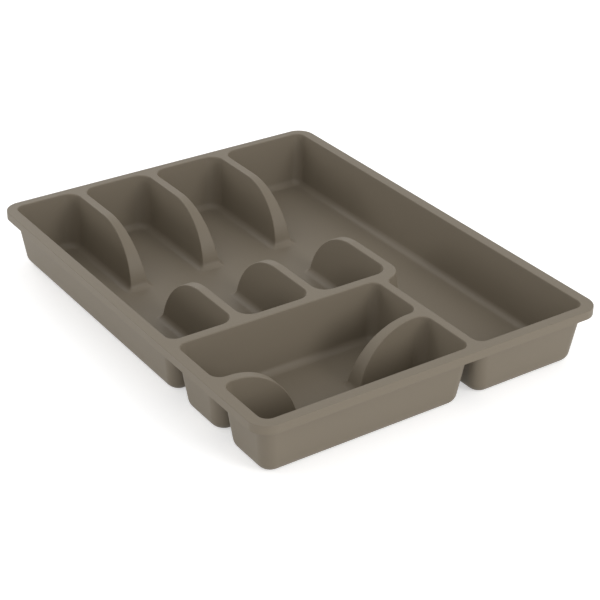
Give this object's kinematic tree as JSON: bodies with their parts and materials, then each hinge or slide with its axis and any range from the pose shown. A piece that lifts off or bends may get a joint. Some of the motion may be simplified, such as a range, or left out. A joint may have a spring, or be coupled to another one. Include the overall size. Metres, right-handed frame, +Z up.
{
  "type": "cutlery tray",
  "caption": "Moulded plastic cutlery tray: drafted bays parted by arched hollow fins, a cross wall and a partition, hung from a flat rim with a turned-down skirt.",
  "frame": {"origin": "bottom of the tray, under the middle of the rim's outer rectangle", "axes": "+X to the right along the front edge, +Y from the front edge to the back edge, +Z up out of the bays"},
  "size_m": [0.305, 0.4, 0.0495],
  "materials": {
    "tray": "fine matt grain, warm grey-brown polypropylene"
  },
  "bodies": {
    "root": {"rim": "tray", "main_floor": "tray", "front_floor": "tray", "back_wall_bay_1": "tray", "back_wall_bay_2": "tray", "back_wall_bay_3": "tray", "back_wall_bay_4": "tray", "left_wall_bay_1": "tray", "left_wall_bay_5": "tray", "left_wall_bay_6": "tray", "right_wall_bay_4": "tray", "front_wall_bay_6": "tray", "front_wall_bay_4": "tray", "cross_wall": "tray", "side_partition": "tray", "back_fin_left": "tray", "back_fin_middle": "tray", "back_fin_right": "tray", "cross_fin_left": "tray", "cross_fin_middle": "tray", "cross_fin_right": "tray", "front_fin_left": "tray", "front_fin_right": "tray"}
  },
  "joints": []
}
